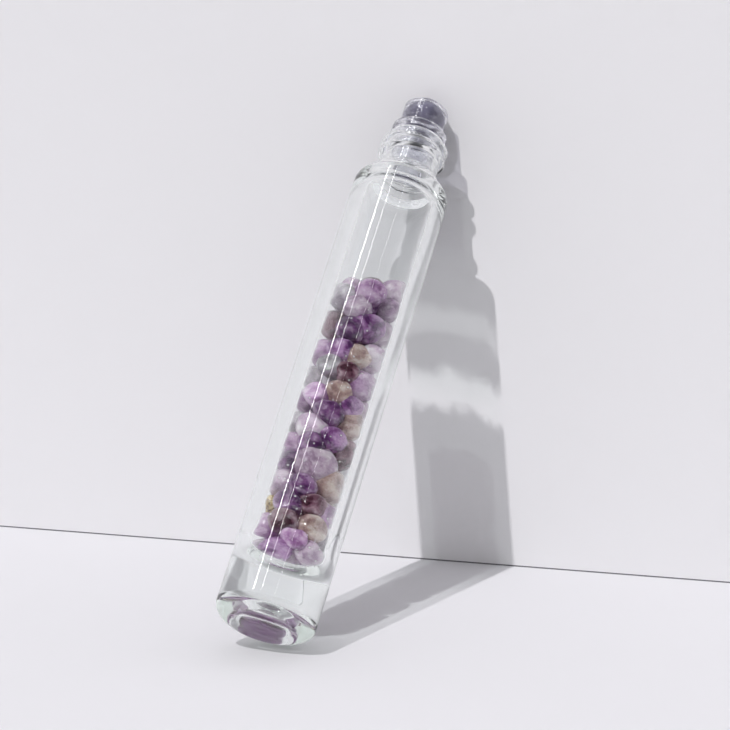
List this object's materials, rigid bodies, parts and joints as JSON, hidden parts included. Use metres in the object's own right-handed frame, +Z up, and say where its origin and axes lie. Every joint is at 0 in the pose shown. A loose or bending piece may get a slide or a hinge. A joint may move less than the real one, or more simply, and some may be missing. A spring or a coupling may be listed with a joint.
{
  "type": "roll on bottle",
  "caption": "Slim thick-walled clear glass roll-on bottle with threaded neck, clear roller housing, violet-grey stone ball and tumbled violet stone chips inside.",
  "frame": {"origin": "middle of the base ring that the bottle stands on", "axes": "+Z up along the bottle's axis to the roller ball, -Y the side shown in the picture, +X to its right"},
  "size_m": [0.02, 0.02, 0.1268],
  "materials": {
    "bottle_glass": "clear moulded glass, thick walled, faint green in the heavy base",
    "clear_plastic": "clear injection-moulded plastic, slightly hazy",
    "ball_stone": "polished violet-grey stone ball, slightly translucent",
    "violet_stone": "tumbled deep violet amethyst, translucent",
    "lilac_stone": "tumbled lilac amethyst, translucent",
    "pale_stone": "tumbled pale cloudy quartz",
    "smoky_stone": "tumbled smoky quartz",
    "beige_stone": "tumbled quartz stained beige and pink",
    "clear_stone": "tumbled clear quartz",
    "golden_stone": "gold-coloured crystalline chip"
  },
  "bodies": {
    "bottle": {"glass_bottle": "bottle_glass"},
    "charge": {"beige_chip_01": "beige_stone", "beige_chip_02": "beige_stone", "beige_chip_03": "beige_stone", "beige_chip_04": "beige_stone", "beige_chip_05": "beige_stone", "clear_chip_01": "clear_stone", "clear_chip_02": "clear_stone", "clear_chip_03": "clear_stone", "clear_chip_04": "clear_stone", "clear_chip_05": "clear_stone", "clear_chip_06": "clear_stone", "core_pale_chips": "pale_stone", "core_smoky_chips": "smoky_stone", "core_violet_chips": "violet_stone", "golden_chip_01": "golden_stone", "lilac_chip_01": "lilac_stone", "lilac_chip_02": "lilac_stone", "lilac_chip_03": "lilac_stone", "lilac_chip_04": "lilac_stone", "lilac_chip_05": "lilac_stone", "lilac_chip_06": "lilac_stone", "lilac_chip_07": "lilac_stone", "lilac_chip_08": "lilac_stone", "lilac_chip_09": "lilac_stone", "lilac_chip_10": "lilac_stone", "pale_chip_01": "pale_stone", "pale_chip_02": "pale_stone", "pale_chip_03": "pale_stone", "pale_chip_04": "pale_stone", "pale_chip_05": "pale_stone", "pale_chip_06": "pale_stone", "pale_chip_07": "pale_stone", "pale_chip_08": "pale_stone", "pale_chip_09": "pale_stone", "rear_lilac_chips": "lilac_stone", "rear_pale_chips": "pale_stone", "rear_smoky_chips": "smoky_stone", "rear_violet_chips": "violet_stone", "smoky_chip_01": "smoky_stone", "smoky_chip_02": "smoky_stone", "smoky_chip_03": "smoky_stone", "smoky_chip_04": "smoky_stone", "smoky_chip_05": "smoky_stone", "violet_chip_01": "violet_stone", "violet_chip_02": "violet_stone", "violet_chip_03": "violet_stone", "violet_chip_04": "violet_stone", "violet_chip_05": "violet_stone", "violet_chip_06": "violet_stone", "violet_chip_07": "violet_stone", "violet_chip_08": "violet_stone", "violet_chip_09": "violet_stone", "violet_chip_10": "violet_stone", "violet_chip_11": "violet_stone"},
    "fitment": {"roller_housing": "clear_plastic"},
    "ball": {"roller_ball": "ball_stone"}
  },
  "joints": [
    {"name": "charge_slide", "type": "slide", "parent": "bottle", "child": "charge", "axis": [0, 0, 1], "range_m": [0, 0.018]},
    {"name": "housing_pull", "type": "slide", "parent": "bottle", "child": "fitment", "axis": [0, 0, 1], "range_m": [0, 0.01]},
    {"name": "ball_roll", "type": "hinge", "parent": "fitment", "child": "ball", "pos_m": [0, 0, 0.12245], "axis": [1, 0, 0], "continuous": true}
  ]
}
